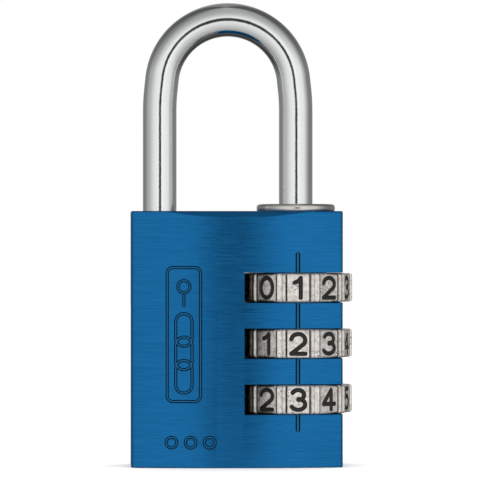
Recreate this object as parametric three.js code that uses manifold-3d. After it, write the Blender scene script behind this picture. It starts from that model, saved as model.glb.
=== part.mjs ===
// A small combination padlock with three number dials, in millimetres.
// +Z is up along the shackle legs, the front faces -Y, and the origin is the centre of the base face.
//
// The long shackle leg runs down through the dial stack. It carries three fins, one under the gate wall
// of each code sleeve, so it lifts only when all three gates face the fins. Lugs on the sleeves carry them
// round with the dials. To set a new code, the sleeves shift down until their lugs leave the notches.

import * as THREE from "three";
import { mergeVertices } from "three/addons/utils/BufferGeometryUtils.js";
import Module from "manifold-3d";

const wasm = await Module();
wasm.setup();

// ---------------------------------------------------------------- driving dimensions

const BODY_WIDTH = 30;
const BODY_HEIGHT = 36.3;
const BODY_THICKNESS = 14; // at the crown of the bowed front and back
const FACE_RADIUS = 70; // bow of the front and back
const CORNER_RADIUS = 0.6; // upright edges
const RIM_CHAMFER = 0.25; // round the top and the base
const BEVEL_DEPTH = 0.95; // flat bevel along the top edge, at its deepest
const BEVEL_HALF_WIDTH = 10.6; // where that bevel runs out on the bowed face

const STACK_X = 8.56; // common axis of dials, sleeves, collar and long leg
const TOE_X = -10.86; // axis of the short leg
const BAR_RADIUS = 2.4;
const LIFT = 5.6; // travel of the shackle
const TOE_DEPTH = 4.8; // short leg inside the body
const CROWN_RADIUS = 9.43; // centre line of the bend
const CROWN_CENTRE_Z = 54.2;
const BEND_END = 84; // degrees of the round bend either side of its top
const LEG_START_Z = 50.4; // above this the legs lean in to the bend
const LEG_LEAN = 2; // how far the lean runs on in each direction before it turns

const DIAL_CENTRES_Z = [25.45, 17.55, 9.65];
const DIGITS = 10;
const DIAL_RADIUS = 8.05; // over the ribs
const FIELD_APOTHEM = 7.5; // flat fields that carry the digits
const DIAL_HEIGHT = 4.05;
const DIAL_CHAMFER = 0.35;
const RIB_FOOT = 0.68; // half widths of a rib
const RIB_CREST = 0.48;
const RIB_GROOVE = 0.2;
const RIB_GROOVE_DEPTH = 0.15;

const WINDOW_HEIGHT = 4.25;
const WINDOW_END_X = 0.3; // deepest point of the slot
const SLOT_CUTTER_RADIUS = 35; // the disc that mills the slots leaves a bowed end wall
const STACK_BORE = 4.8;
const STACK_BORE_FLOOR_Z = 1.6;

const SLEEVE_RADIUS = 4.3;
const SLEEVE_BORE = 3.2;
const SLEEVE_TOP = 4.0; // above the dial's centre
const SLEEVE_BOTTOM = -3.6;
const GATE_WALL = 1.6; // thickness of the wall that holds the gate
const GATE_WIDTH = 1.7;
const NECK_RADIUS = 1.6;
const FIN_RADIUS = 2.95;
const FIN_WIDTH = 1.3;
const FIN_HEIGHT = 1.6;
const FOOT_LENGTH = 1.2; // neck below the lowest fin
const SIDE_PLAY = 0.15; // neck in the gate wall, lug in its notch
const LOCKED_PLAY = 0.5; // fin top to gate wall
const LUG_RADIUS = 4.7;
const LUG_WIDTH = 0.9;
const LUG_BOTTOM = 0.1; // above the dial's centre
const LUG_HEIGHT = 1.2;
const SLEEVE_SHIFT = 1.5; // travel that takes the lugs out of the dial's notches

const COLLAR_RADIUS = 5.6;
const COLLAR_FLANGE = 1.0;
const COLLAR_EDGE = 0.45;
const BORE_EDGE = 0.15;
const COLLAR_GROOVE_RADIUS = 3.8; // floor of the groove that the pins lie in
const PIN_RADIUS = 0.7;
const PIN_OFFSET = 4.65; // either side of the stack axis
const PIN_Z = 34.6;
const PIN_INNER_END_Y = -2.3;

const BALL_RADIUS = 1.0;
const BALL_HOLE_END_X = -4.2;
const DETENT_COIL_RADIUS = 0.8;
const DETENT_TURNS = 4;
const DETENT_WIRE_RADIUS = 0.14;
const RESET_COIL_RADIUS = 3.7;
const RESET_TURNS = 2.25;
const RESET_WIRE_RADIUS = 0.2;
const WASHER_THICKNESS = 0.5;
const RUNNING_GAP = 0.1; // between parts that turn or slide
const RESTING_GAP = 0.3; // between parts that bear on each other end to end
const CONTACT_GAP = 0.02; // between faces that meet

const ROUND = 40; // facets of a large round
const SMALL_ROUND = 16;

// ---------------------------------------------------------------- solids and placing

function solidOf(geometry) {
  const loose = geometry.index ? geometry.toNonIndexed() : geometry;
  const bare = new THREE.BufferGeometry();
  bare.setAttribute("position", loose.getAttribute("position"));
  const merged = mergeVertices(bare, 1e-4);
  const vertProperties = merged.attributes.position.array;
  const triVerts = new Uint32Array(merged.index.array);
  return new wasm.Manifold(new wasm.Mesh({ numProp: 3, vertProperties, triVerts }));
}

function geometryOf(solid) {
  const mesh = solid.getMesh();
  const geometry = new THREE.BufferGeometry();
  geometry.setAttribute("position", new THREE.BufferAttribute(mesh.vertProperties, 3));
  geometry.setIndex(new THREE.BufferAttribute(mesh.triVerts, 1));
  return geometry;
}

function subtractAll(solid, cutters) {
  return cutters.reduce((left, cutter) => left.subtract(cutter), solid);
}

function addAll(solids) {
  return solids.reduce((joined, next) => joined.add(next));
}

function box(x0, x1, y0, y1, z0, z1) {
  const geometry = new THREE.BoxGeometry(x1 - x0, y1 - y0, z1 - z0);
  return solidOf(geometry.translate((x0 + x1) / 2, (y0 + y1) / 2, (z0 + z1) / 2));
}

function uprightCylinder(radius, z0, z1, x = 0, segments = ROUND) {
  const geometry = new THREE.CylinderGeometry(radius, radius, z1 - z0, segments);
  return solidOf(geometry.rotateX(Math.PI / 2).translate(x, 0, (z0 + z1) / 2));
}

// A closed profile of [radius, z] pairs turned about the z axis.
function turned(profile, segments = ROUND) {
  const points = [...profile, profile[0]].map(([r, z]) => new THREE.Vector2(r, z));
  return solidOf(new THREE.LatheGeometry(points, segments).rotateX(Math.PI / 2));
}

// A flat outline of [x, y] pairs raised from z0 to z1.
function raised(outline, z0, z1) {
  const shape = new THREE.Shape(outline.map(([x, y]) => new THREE.Vector2(x, y)));
  const geometry = new THREE.ExtrudeGeometry(shape, { depth: z1 - z0, bevelEnabled: false });
  return solidOf(geometry.translate(0, 0, z0));
}

// A round wire along a curve.
function wire(curve, radius, steps, sides) {
  const section = new THREE.Shape().absarc(0, 0, radius, 0, 2 * Math.PI);
  const outline = new THREE.Shape(section.getSpacedPoints(sides).slice(0, sides));
  return new THREE.ExtrudeGeometry(outline, { steps, extrudePath: curve, bevelEnabled: false });
}

class Helix extends THREE.Curve {
  constructor(radius, turns, length) {
    super();
    Object.assign(this, { radius, turns, length });
  }

  getPoint(t, target = new THREE.Vector3()) {
    const angle = 2 * Math.PI * this.turns * t;
    return target.set(this.radius * Math.cos(angle), this.radius * Math.sin(angle), this.length * t);
  }
}

const root = new THREE.Group();

function place(name, geometry, material, x = 0, z = 0) {
  const mesh = new THREE.Mesh(geometry, material);
  mesh.name = name;
  mesh.position.set(x, 0, z);
  root.add(mesh);
}

const anodised = new THREE.MeshStandardMaterial({ color: 0x1c69a1, roughness: 0.35, metalness: 0.9 });
const platedSteel = new THREE.MeshStandardMaterial({ color: 0xd8dcdc, roughness: 0.15, metalness: 1 });
const platedZinc = new THREE.MeshStandardMaterial({ color: 0xcfc8c0, roughness: 0.25, metalness: 1 });
const brass = new THREE.MeshStandardMaterial({ color: 0xc9a55a, roughness: 0.35, metalness: 1 });
const springSteel = new THREE.MeshStandardMaterial({ color: 0x9a9c9e, roughness: 0.3, metalness: 1 });

// ---------------------------------------------------------------- lock body

// Distance of the bowed face from the middle plane at a given x.
function faceDepth(x) {
  return BODY_THICKNESS / 2 - FACE_RADIUS + Math.sqrt(FACE_RADIUS ** 2 - x ** 2);
}

function bodyBlank() {
  const side = BODY_WIDTH / 2;
  const inner = side - CORNER_RADIUS;
  const arcEnd = Math.asin(inner / FACE_RADIUS);
  const arcCentre = FACE_RADIUS - BODY_THICKNESS / 2;
  const corner = faceDepth(side);
  const shape = new THREE.Shape();
  shape.absarc(0, arcCentre, FACE_RADIUS, -Math.PI / 2 - arcEnd, -Math.PI / 2 + arcEnd);
  shape.quadraticCurveTo(side, -corner, side, CORNER_RADIUS - corner);
  shape.lineTo(side, corner - CORNER_RADIUS);
  shape.quadraticCurveTo(side, corner, inner, faceDepth(inner));
  shape.absarc(0, -arcCentre, FACE_RADIUS, Math.PI / 2 - arcEnd, Math.PI / 2 + arcEnd);
  shape.quadraticCurveTo(-side, corner, -side, corner - CORNER_RADIUS);
  shape.lineTo(-side, CORNER_RADIUS - corner);
  shape.quadraticCurveTo(-side, -corner, -inner, -faceDepth(inner));
  const geometry = new THREE.ExtrudeGeometry(shape, {
    depth: BODY_HEIGHT - 2 * RIM_CHAMFER,
    bevelThickness: RIM_CHAMFER,
    bevelSize: RIM_CHAMFER,
    bevelOffset: -RIM_CHAMFER,
    bevelSegments: 1,
    curveSegments: 8,
  });
  return solidOf(geometry.translate(0, 0, RIM_CHAMFER));
}

// The wedge that leaves a flat bevel along the top edge, for the front (side -1) or the back (side 1).
function topBevel(side) {
  const start = faceDepth(BEVEL_HALF_WIDTH);
  const run = (BODY_THICKNESS / 2 - start) / BEVEL_DEPTH;
  const reach = 3;
  const outline = [
    [side * start, 0],
    [side * (start + run * reach), -reach],
    [side * (start + run * reach), reach],
    [side * start, reach],
  ];
  const shape = new THREE.Shape(outline.map(([y, z]) => new THREE.Vector2(y, z)));
  const geometry = new THREE.ExtrudeGeometry(shape, { depth: BODY_WIDTH * 2, bevelEnabled: false });
  // The outline's plane turns upright: its x becomes y, its y becomes z, and the depth runs along x.
  geometry.rotateX(Math.PI / 2).rotateZ(Math.PI / 2);
  return solidOf(geometry.translate(-BODY_WIDTH, 0, BODY_HEIGHT));
}

function dialWindow(z) {
  const reach = Math.asin(BODY_THICKNESS / SLOT_CUTTER_RADIUS);
  const slot = new THREE.Shape();
  slot.absarc(WINDOW_END_X + SLOT_CUTTER_RADIUS, 0, SLOT_CUTTER_RADIUS, Math.PI - reach, Math.PI + reach);
  slot.lineTo(BODY_WIDTH, -BODY_THICKNESS);
  slot.lineTo(BODY_WIDTH, BODY_THICKNESS);
  const options = { depth: WINDOW_HEIGHT, bevelEnabled: false, curveSegments: 8 };
  return solidOf(new THREE.ExtrudeGeometry(slot, options).translate(0, 0, z - WINDOW_HEIGHT / 2));
}

function ballHole(z) {
  const length = WINDOW_END_X + 1 - BALL_HOLE_END_X;
  const radius = BALL_RADIUS + RUNNING_GAP;
  const geometry = new THREE.CylinderGeometry(radius, radius, length, SMALL_ROUND);
  return solidOf(geometry.rotateZ(Math.PI / 2).translate(BALL_HOLE_END_X + length / 2, 0, z));
}

// The engraved index line that the digits are read against, on the front.
function indexGroove() {
  const halfWidth = 0.22;
  const depth = 0.15;
  const y = -faceDepth(STACK_X);
  return box(STACK_X - halfWidth, STACK_X + halfWidth, y - 1, y + depth, 5.1, 30.5);
}

// A cross pin's bore, open at the back. The pin itself is shorter and thinner.
function crossPin(side, radius, innerEnd, outerEnd) {
  const geometry = new THREE.CylinderGeometry(radius, radius, outerEnd - innerEnd, SMALL_ROUND);
  return geometry.translate(STACK_X + side * PIN_OFFSET, (innerEnd + outerEnd) / 2, PIN_Z);
}

function pinBore(side) {
  return solidOf(crossPin(side, PIN_RADIUS + RUNNING_GAP, PIN_INNER_END_Y - RESTING_GAP, BODY_THICKNESS));
}

function lockBody() {
  const above = BODY_HEIGHT + 1;
  const toeBoreFloor = BODY_HEIGHT - TOE_DEPTH - RESTING_GAP;
  return subtractAll(bodyBlank(), [
    topBevel(-1),
    topBevel(1),
    uprightCylinder(STACK_BORE, STACK_BORE_FLOOR_Z, above, STACK_X),
    uprightCylinder(BAR_RADIUS + 2 * RUNNING_GAP, toeBoreFloor, above, TOE_X, 24),
    indexGroove(),
    pinBore(-1),
    pinBore(1),
    ...DIAL_CENTRES_Z.map(dialWindow),
    ...DIAL_CENTRES_Z.map(ballHole),
  ]);
}

place("lock_body", geometryOf(lockBody()), anodised);

// ---------------------------------------------------------------- guide collar

const FIN_TOP = SLEEVE_TOP - GATE_WALL - LOCKED_PLAY; // above the dial's centre
const COLLAR_BOTTOM_Z = DIAL_CENTRES_Z[0] + SLEEVE_TOP + RESTING_GAP;
const NECK_TOP_Z = COLLAR_BOTTOM_Z + 0.25;
const STOP_Z = DIAL_CENTRES_Z[0] + FIN_TOP + LIFT + RUNNING_GAP; // shoulder that the top fin meets

// A bush pinned into the body: its flange lies on the body, its skirt keeps the sleeves down, and its bore
// guides the long leg.
function guideCollar() {
  const seat = BODY_HEIGHT + CONTACT_GAP;
  const top = seat + COLLAR_FLANGE;
  const bore = BAR_RADIUS + RUNNING_GAP;
  const skirt = STACK_BORE - RUNNING_GAP;
  const grooveHalf = PIN_RADIUS + RUNNING_GAP;
  return turned([
    [bore, STOP_Z],
    [SLEEVE_BORE, STOP_Z],
    [SLEEVE_BORE, COLLAR_BOTTOM_Z],
    [skirt, COLLAR_BOTTOM_Z],
    [skirt, PIN_Z - grooveHalf],
    [COLLAR_GROOVE_RADIUS, PIN_Z - grooveHalf],
    [COLLAR_GROOVE_RADIUS, PIN_Z + grooveHalf],
    [skirt, PIN_Z + grooveHalf],
    [skirt, seat],
    [COLLAR_RADIUS, seat],
    [COLLAR_RADIUS, top - COLLAR_EDGE],
    [COLLAR_RADIUS - COLLAR_EDGE * 0.3, top - COLLAR_EDGE * 0.3],
    [COLLAR_RADIUS - COLLAR_EDGE, top],
    [bore + BORE_EDGE, top],
    [bore, top - BORE_EDGE],
  ]);
}

place("guide_collar", geometryOf(guideCollar()), platedZinc, STACK_X);

// Two dowels driven in from the back lie in the skirt's groove and hold the collar down.
[-1, 1].forEach((side, i) => {
  const outerEnd = faceDepth(STACK_X + side * PIN_OFFSET) - RESTING_GAP;
  place(`collar_pin_${i + 1}`, crossPin(side, PIN_RADIUS, PIN_INNER_END_Y, outerEnd), springSteel);
});

// ---------------------------------------------------------------- shackle

// Centre line of the bar from the long leg's neck, round the crown, to the toe.
class ShackleLine extends THREE.CurvePath {
  constructor(longEndZ, toeEndZ) {
    super();
    const middle = (STACK_X + TOE_X) / 2;
    const halfSpan = (STACK_X - TOE_X) / 2;
    const bendEnd = THREE.MathUtils.degToRad(BEND_END);
    const endX = CROWN_RADIUS * Math.sin(bendEnd);
    const endZ = CROWN_CENTRE_Z + CROWN_RADIUS * Math.cos(bendEnd);
    const at = (side, x, z) => new THREE.Vector3(middle + side * x, 0, z);
    const shoulder = (side) => [
      at(side, halfSpan, LEG_START_Z),
      at(side, halfSpan, LEG_START_Z + LEG_LEAN),
      at(side, endX + LEG_LEAN * Math.cos(bendEnd), endZ - LEG_LEAN * Math.sin(bendEnd)),
      at(side, endX, endZ),
    ];
    this.add(new THREE.LineCurve3(at(1, halfSpan, longEndZ), at(1, halfSpan, LEG_START_Z)));
    this.add(new THREE.CubicBezierCurve3(...shoulder(1)));
    this.add(new CrownArc(middle, bendEnd));
    this.add(new THREE.CubicBezierCurve3(...shoulder(-1).reverse()));
    this.add(new THREE.LineCurve3(at(-1, halfSpan, LEG_START_Z), at(-1, halfSpan, toeEndZ)));
  }
}

class CrownArc extends THREE.Curve {
  constructor(middle, bendEnd) {
    super();
    Object.assign(this, { middle, bendEnd });
  }

  getPoint(t, target = new THREE.Vector3()) {
    const angle = this.bendEnd * (1 - 2 * t);
    const x = this.middle + CROWN_RADIUS * Math.sin(angle);
    return target.set(x, 0, CROWN_CENTRE_Z + CROWN_RADIUS * Math.cos(angle));
  }
}

// A fin stands on the neck towards the short leg. Its outer end is round.
function fin(dialZ) {
  const top = dialZ + FIN_TOP;
  const block = box(STACK_X - 2 * FIN_RADIUS, STACK_X, -FIN_WIDTH / 2, FIN_WIDTH / 2, top - FIN_HEIGHT, top);
  return block.intersect(uprightCylinder(FIN_RADIUS, top - 2 * FIN_HEIGHT, top + 1, STACK_X));
}

function shackle() {
  const toeEnd = BODY_HEIGHT - TOE_DEPTH;
  const toeChamfer = 0.6;
  const line = new ShackleLine(NECK_TOP_Z, toeEnd + toeChamfer);
  const bar = solidOf(wire(line, BAR_RADIUS, 48, SMALL_ROUND));
  const toeTip = new THREE.CylinderGeometry(BAR_RADIUS, BAR_RADIUS - toeChamfer, toeChamfer, SMALL_ROUND);
  toeTip.rotateX(Math.PI / 2).translate(TOE_X, 0, toeEnd + toeChamfer / 2 + 0.001);
  const foot = DIAL_CENTRES_Z[2] + FIN_TOP - FIN_HEIGHT - FOOT_LENGTH;
  const neck = uprightCylinder(NECK_RADIUS, foot, NECK_TOP_Z + 0.5, STACK_X, SMALL_ROUND);
  return addAll([bar, solidOf(toeTip), neck, ...DIAL_CENTRES_Z.map(fin)]);
}

place("shackle", geometryOf(shackle()), platedSteel);

// ---------------------------------------------------------------- number dials

// A point given along a direction (angle from the front, about +Z) and across it.
function polar(angle, along, across) {
  const x = along * Math.sin(angle) + across * Math.cos(angle);
  const y = -along * Math.cos(angle) + across * Math.sin(angle);
  return [x, y];
}

// Ten flat fields with a grooved rib between each two.
function dialOutline() {
  const pitch = (2 * Math.PI) / DIGITS;
  const foot = (FIELD_APOTHEM - RIB_FOOT * Math.sin(pitch / 2)) / Math.cos(pitch / 2);
  const crest = Math.sqrt(DIAL_RADIUS ** 2 - RIB_CREST ** 2);
  const rib = [
    [foot, -RIB_FOOT],
    [crest, -RIB_CREST],
    [crest, -RIB_GROOVE],
    [crest - RIB_GROOVE_DEPTH, 0],
    [crest, RIB_GROOVE],
    [crest, RIB_CREST],
    [foot, RIB_FOOT],
  ];
  const indices = [...Array(DIGITS).keys()];
  return indices.flatMap((k) => rib.map(([along, across]) => polar((k + 0.5) * pitch, along, across)));
}

// The ten notches that the sleeve's lugs drive.
function splineOutline() {
  const pitch = (2 * Math.PI) / DIGITS;
  const land = SLEEVE_RADIUS + RUNNING_GAP;
  const half = LUG_WIDTH / 2 + SIDE_PLAY;
  const notch = [
    [land, -half],
    [LUG_RADIUS + RUNNING_GAP, -half],
    [LUG_RADIUS + RUNNING_GAP, half],
    [land, half],
  ];
  const indices = [...Array(DIGITS).keys()];
  return indices.flatMap((k) => notch.map(([along, across]) => polar(k * pitch, along, across)));
}

function dialRing() {
  const half = DIAL_HEIGHT / 2;
  const blank = raised(dialOutline(), -half, half);
  const envelope = turned([
    [0, -half],
    [DIAL_RADIUS - DIAL_CHAMFER, -half],
    [DIAL_RADIUS + 0.05, DIAL_CHAMFER + 0.05 - half],
    [DIAL_RADIUS + 0.05, half - DIAL_CHAMFER - 0.05],
    [DIAL_RADIUS - DIAL_CHAMFER, half],
    [0, half],
  ]);
  const splineBottom = LUG_BOTTOM + LUG_HEIGHT - SLEEVE_SHIFT + RUNNING_GAP;
  const freeBore = uprightCylinder(LUG_RADIUS + 1.5 * RUNNING_GAP, -half - 1, splineBottom);
  const spline = raised(splineOutline(), splineBottom - 0.1, half + 1);
  return blank.intersect(envelope).subtract(freeBore).subtract(spline);
}

const ring = geometryOf(dialRing());
DIAL_CENTRES_Z.forEach((z, i) => place(`dial_ring_${i + 1}`, ring, platedZinc, STACK_X, z));

// ---------------------------------------------------------------- code sleeves

// A sleeve hangs from its gate wall. The gate faces the fins when its digit of the code is in front.
function codeSleeve() {
  const wallBottom = SLEEVE_TOP - GATE_WALL;
  const neckHole = NECK_RADIUS + SIDE_PLAY;
  const tube = turned(
    [
      [SLEEVE_BORE, SLEEVE_BOTTOM],
      [SLEEVE_RADIUS, SLEEVE_BOTTOM],
      [SLEEVE_RADIUS, SLEEVE_TOP],
      [neckHole, SLEEVE_TOP],
      [neckHole, wallBottom],
      [SLEEVE_BORE, wallBottom],
    ],
    32,
  );
  const gate = box(-SLEEVE_BORE, 0, -GATE_WIDTH / 2, GATE_WIDTH / 2, wallBottom - 1, SLEEVE_TOP + 1);
  const lugTop = LUG_BOTTOM + LUG_HEIGHT;
  const lugs = box(-LUG_WIDTH / 2, LUG_WIDTH / 2, -LUG_RADIUS, LUG_RADIUS, LUG_BOTTOM, lugTop);
  const core = uprightCylinder(SLEEVE_RADIUS - 0.3, -SLEEVE_RADIUS, SLEEVE_RADIUS, 0, 32);
  return tube.subtract(gate).add(lugs.subtract(core));
}

const sleeve = geometryOf(codeSleeve());
DIAL_CENTRES_Z.forEach((z, i) => place(`code_sleeve_${i + 1}`, sleeve, brass, STACK_X, z));

// ---------------------------------------------------------------- reset spring and its washer

const WASHER_TOP_Z = DIAL_CENTRES_Z[2] + SLEEVE_BOTTOM - RESTING_GAP;

function thrustWasher() {
  const bottom = WASHER_TOP_Z - WASHER_THICKNESS;
  return turned([
    [SLEEVE_BORE, bottom],
    [STACK_BORE - 2 * RUNNING_GAP, bottom],
    [STACK_BORE - 2 * RUNNING_GAP, WASHER_TOP_Z],
    [SLEEVE_BORE, WASHER_TOP_Z],
  ]);
}

place("thrust_washer", geometryOf(thrustWasher()), springSteel, STACK_X);

function resetSpring() {
  const bottom = STACK_BORE_FLOOR_Z + RESTING_GAP + RESET_WIRE_RADIUS;
  const top = WASHER_TOP_Z - WASHER_THICKNESS - RESTING_GAP - RESET_WIRE_RADIUS;
  const helix = new Helix(RESET_COIL_RADIUS, RESET_TURNS, top - bottom);
  return solidOf(wire(helix, RESET_WIRE_RADIUS, 40, 6).translate(0, 0, bottom));
}

place("reset_spring", geometryOf(resetSpring()), springSteel, STACK_X);

// ---------------------------------------------------------------- dial detents

// A ball in a blind hole in the window's end wall seats in the groove of the rib that faces it.
const BALL_X = STACK_X - DIAL_RADIUS - BALL_RADIUS - 2 * CONTACT_GAP;

function detentSpring() {
  const endGap = 0.25;
  const left = BALL_HOLE_END_X + endGap + DETENT_WIRE_RADIUS;
  const right = BALL_X - BALL_RADIUS - endGap - DETENT_WIRE_RADIUS;
  const helix = new Helix(DETENT_COIL_RADIUS, DETENT_TURNS, right - left);
  const coil = wire(helix, DETENT_WIRE_RADIUS, 40, 5);
  return solidOf(coil.rotateY(Math.PI / 2).translate(left, 0, 0));
}

const ball = new THREE.SphereGeometry(BALL_RADIUS, 14, 9);
const detentCoil = geometryOf(detentSpring());
DIAL_CENTRES_Z.forEach((z, i) => {
  place(`detent_ball_${i + 1}`, ball, platedSteel, BALL_X, z);
  place(`detent_spring_${i + 1}`, detentCoil, springSteel, 0, z);
});

export default root;
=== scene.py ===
"""Studio scene of a small combination padlock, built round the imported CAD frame.

Shapes are built in millimetres on the frame's own axes (+Z up, front to -Y). They are scaled to metres when
they are done.
"""

import math

import bmesh
import bpy
from mathutils import Matrix, Vector


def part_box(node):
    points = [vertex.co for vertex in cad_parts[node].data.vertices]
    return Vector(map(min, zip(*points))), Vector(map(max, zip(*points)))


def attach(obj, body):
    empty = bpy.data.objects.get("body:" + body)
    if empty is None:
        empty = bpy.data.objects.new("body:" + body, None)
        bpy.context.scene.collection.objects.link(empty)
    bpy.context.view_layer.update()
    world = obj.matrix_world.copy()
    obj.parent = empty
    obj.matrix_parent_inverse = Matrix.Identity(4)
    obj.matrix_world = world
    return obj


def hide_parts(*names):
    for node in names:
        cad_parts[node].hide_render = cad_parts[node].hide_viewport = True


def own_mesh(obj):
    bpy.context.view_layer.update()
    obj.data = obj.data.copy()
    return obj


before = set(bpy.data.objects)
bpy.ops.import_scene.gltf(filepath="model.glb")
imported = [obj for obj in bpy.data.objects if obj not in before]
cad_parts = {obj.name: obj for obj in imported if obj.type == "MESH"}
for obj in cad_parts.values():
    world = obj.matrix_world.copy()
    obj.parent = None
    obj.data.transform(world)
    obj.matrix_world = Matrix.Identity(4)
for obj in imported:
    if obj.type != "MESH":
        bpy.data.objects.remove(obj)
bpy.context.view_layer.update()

MM = 0.001
FULL_TURN = 2 * math.pi


def box_mm(node):
    """Lowest and highest corner of a CAD node in millimetres."""
    low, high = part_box(node)
    return low / MM, high / MM


# ---------------------------------------------------------------- sizes worked out from the frame

BODY_HIGH = box_mm("lock_body")[1]
SIDE = BODY_HIGH.x
CROWN = BODY_HIGH.y
TOP = BODY_HIGH.z

COLLAR_LOW, COLLAR_HIGH = box_mm("guide_collar")
STACK_X = (COLLAR_LOW.x + COLLAR_HIGH.x) / 2
COLLAR_RADIUS = (COLLAR_HIGH.x - COLLAR_LOW.x) / 2

SHACKLE_LOW, SHACKLE_HIGH = box_mm("shackle")
BAR_RADIUS = SHACKLE_HIGH.y
TOE_X = SHACKLE_LOW.x + BAR_RADIUS
DIALS = [box_mm(f"dial_ring_{n}") for n in (1, 2, 3)]
DIAL_CENTRES_Z = [(low.z + high.z) / 2 for low, high in DIALS]
DIAL_HALF_HEIGHT = (DIALS[0][1].z - DIALS[0][0].z) / 2
DIAL_RADIUS = (DIALS[0][1].x - DIALS[0][0].x) / 2
BALL_LOW, BALL_HIGH = box_mm("detent_ball_1")
BALL_RADIUS = (BALL_HIGH.x - BALL_LOW.x) / 2
BALL_X = (BALL_HIGH.x + BALL_LOW.x) / 2

# ---------------------------------------------------------------- sizes of the CAD model and of finer detail

FACE_RADIUS = 70  # bow of the front and back
CORNER_RADIUS = 0.5  # upright edges of the body
RIM_RADIUS = 0.22  # round its top and base
BEVEL_DEPTH = 0.95  # flat bevel along the top edge
BEVEL_HALF_WIDTH = 10.6
BEVEL_BLEND = 0.05
EDGE_BREAK = 0.05  # broken edges of the windows

WINDOW_END_X = 0.3  # deepest point of the slot
SLOT_CUTTER_RADIUS = 35
WINDOW_HEIGHT = 4.25
STACK_BORE = 4.8
STACK_BORE_FLOOR_Z = 1.6
TOE_DEPTH = 4.8
LIFT = 5.6
RUNNING_GAP = 0.1
RESTING_GAP = 0.3
CONTACT_GAP = 0.02
BALL_HOLE_END_X = -4.2

SLEEVE_SHIFT = 1.5  # how far the sleeves can be pushed down
RESET_COIL_RADIUS = 3.7
RESET_TURNS = 2.25
RESET_WIRE_RADIUS = 0.2

DIGITS = 10
PITCH = FULL_TURN / DIGITS
FIELD_APOTHEM = 7.5
DIAL_EDGE_RADIUS = 0.38
DIGIT_DEPTH = 0.16
DIGIT_STROKE = 0.62

NECK_RADIUS = 1.6
FIN_RADIUS = 2.95
FIN_WIDTH = 1.3
FIN_HEIGHT = 1.6
FIN_TOP = 1.9  # above the dial's centre
COLLAR_GROOVE_RADIUS = 3.8
PIN_RADIUS = 0.7
SLEEVE_BORE = 3.2
CROWN_RADIUS = 9.43
LEG_START_Z = 50.4
LEG_LEAN = 2
BEND_END = math.radians(84)
TOE_CHAMFER = 0.6

INDEX_LOW_Z = 5.4
INDEX_HIGH_Z = 30.2
GROOVE_WIDTH = 0.66
EMBLEM_WIDTH = 0.45
GROOVE_DEPTH = 0.16

SHARP_ANGLE = math.radians(32)
CAD_SHARP_ANGLE = math.radians(40)  # for the coarser facets of the CAD nodes that stay


# ---------------------------------------------------------------- mesh tools


def closed_mesh(name, vertices, faces):
    """An object made of the vertices and faces, with its faces turned outwards."""
    mesh = bpy.data.meshes.new(name)
    mesh.from_pydata([Vector(v) for v in vertices], [], faces)
    shape = bmesh.new()
    shape.from_mesh(mesh)
    bmesh.ops.recalc_face_normals(shape, faces=shape.faces)
    shape.to_mesh(mesh)
    shape.free()
    obj = bpy.data.objects.new(name, mesh)
    bpy.context.scene.collection.objects.link(obj)
    return obj


def loft(name, rings, cyclic=False):
    """A closed skin through rings of equal length. Its ends are capped unless it closes on itself."""
    count = len(rings[0])
    vertices = [point for ring in rings for point in ring]
    faces = []
    for i in range(len(rings) if cyclic else len(rings) - 1):
        here, there = i * count, (i + 1) % len(rings) * count
        for j in range(count):
            k = (j + 1) % count
            faces.append((here + j, here + k, there + k, there + j))
    if not cyclic:
        faces.append(tuple(reversed(range(count))))
        faces.append(tuple(range(len(vertices) - count, len(vertices))))
    return closed_mesh(name, vertices, faces)


def turned(name, profile, x, segments):
    """A closed profile of (radius, height) pairs turned about an upright axis."""
    rings = []
    for i in range(segments):
        angle = FULL_TURN * i / segments
        rings.append([(x + r * math.cos(angle), r * math.sin(angle), z) for r, z in profile])
    return loft(name, rings, cyclic=True)


def upright_cylinder(name, radius, z0, z1, x=0, segments=96):
    rings = []
    for z in (z0, z1):
        ring = [FULL_TURN * i / segments for i in range(segments)]
        rings.append([(x + radius * math.cos(a), radius * math.sin(a), z) for a in ring])
    return loft(name, rings)


def cylinder_along(name, axis, radius, start, end, centre):
    """A cylinder along X or Y, from start to end on that axis, through the centre given on the other two."""
    segments = 32
    rings = []
    for along in (start, end):
        ring = []
        for i in range(segments):
            angle = FULL_TURN * i / segments
            across, up = centre[0] + radius * math.cos(angle), centre[1] + radius * math.sin(angle)
            ring.append((along, across, up) if axis == "X" else (across, along, up))
        rings.append(ring)
    return loft(name, rings)


def block(name, low, high):
    (x0, y0, z0), (x1, y1, z1) = low, high
    return loft(name, [[(x0, y0, z), (x1, y0, z), (x1, y1, z), (x0, y1, z)] for z in (z0, z1)])


def apply_modifiers(obj):
    depsgraph = bpy.context.evaluated_depsgraph_get()
    mesh = bpy.data.meshes.new_from_object(obj.evaluated_get(depsgraph))
    obj.modifiers.clear()
    obj.data = mesh


def combine(target, tools, operation):
    for tool in tools:
        modifier = target.modifiers.new("boolean", "BOOLEAN")
        modifier.operation = operation
        modifier.solver = "MANIFOLD"
        modifier.object = tool
        apply_modifiers(target)
        bpy.data.objects.remove(tool)


def cut(target, tools):
    combine(target, tools, "DIFFERENCE")


def join(target, tools):
    combine(target, tools, "UNION")


def smooth_steps(low, high, count):
    return [low + (high - low) * i / (count - 1) for i in range(count)]


def dress(obj, materials, pick=None):
    """Gives a piece its materials. pick(polygon) is the number of the one that a face gets."""
    obj.data.materials.clear()
    for material in materials:
        obj.data.materials.append(material)
    if pick:
        for polygon in obj.data.polygons:
            polygon.material_index = pick(polygon)


def finish_piece(obj, body, nodes):
    """Scales a dressed piece to metres, shades it and gives it its place in the frame."""
    obj.data.transform(Matrix.Scale(MM, 4))
    obj.data.shade_smooth()
    obj.data.set_sharp_from_angle(angle=SHARP_ANGLE)
    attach(obj, body)
    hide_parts(*nodes)


# ---------------------------------------------------------------- engraved strokes


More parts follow.
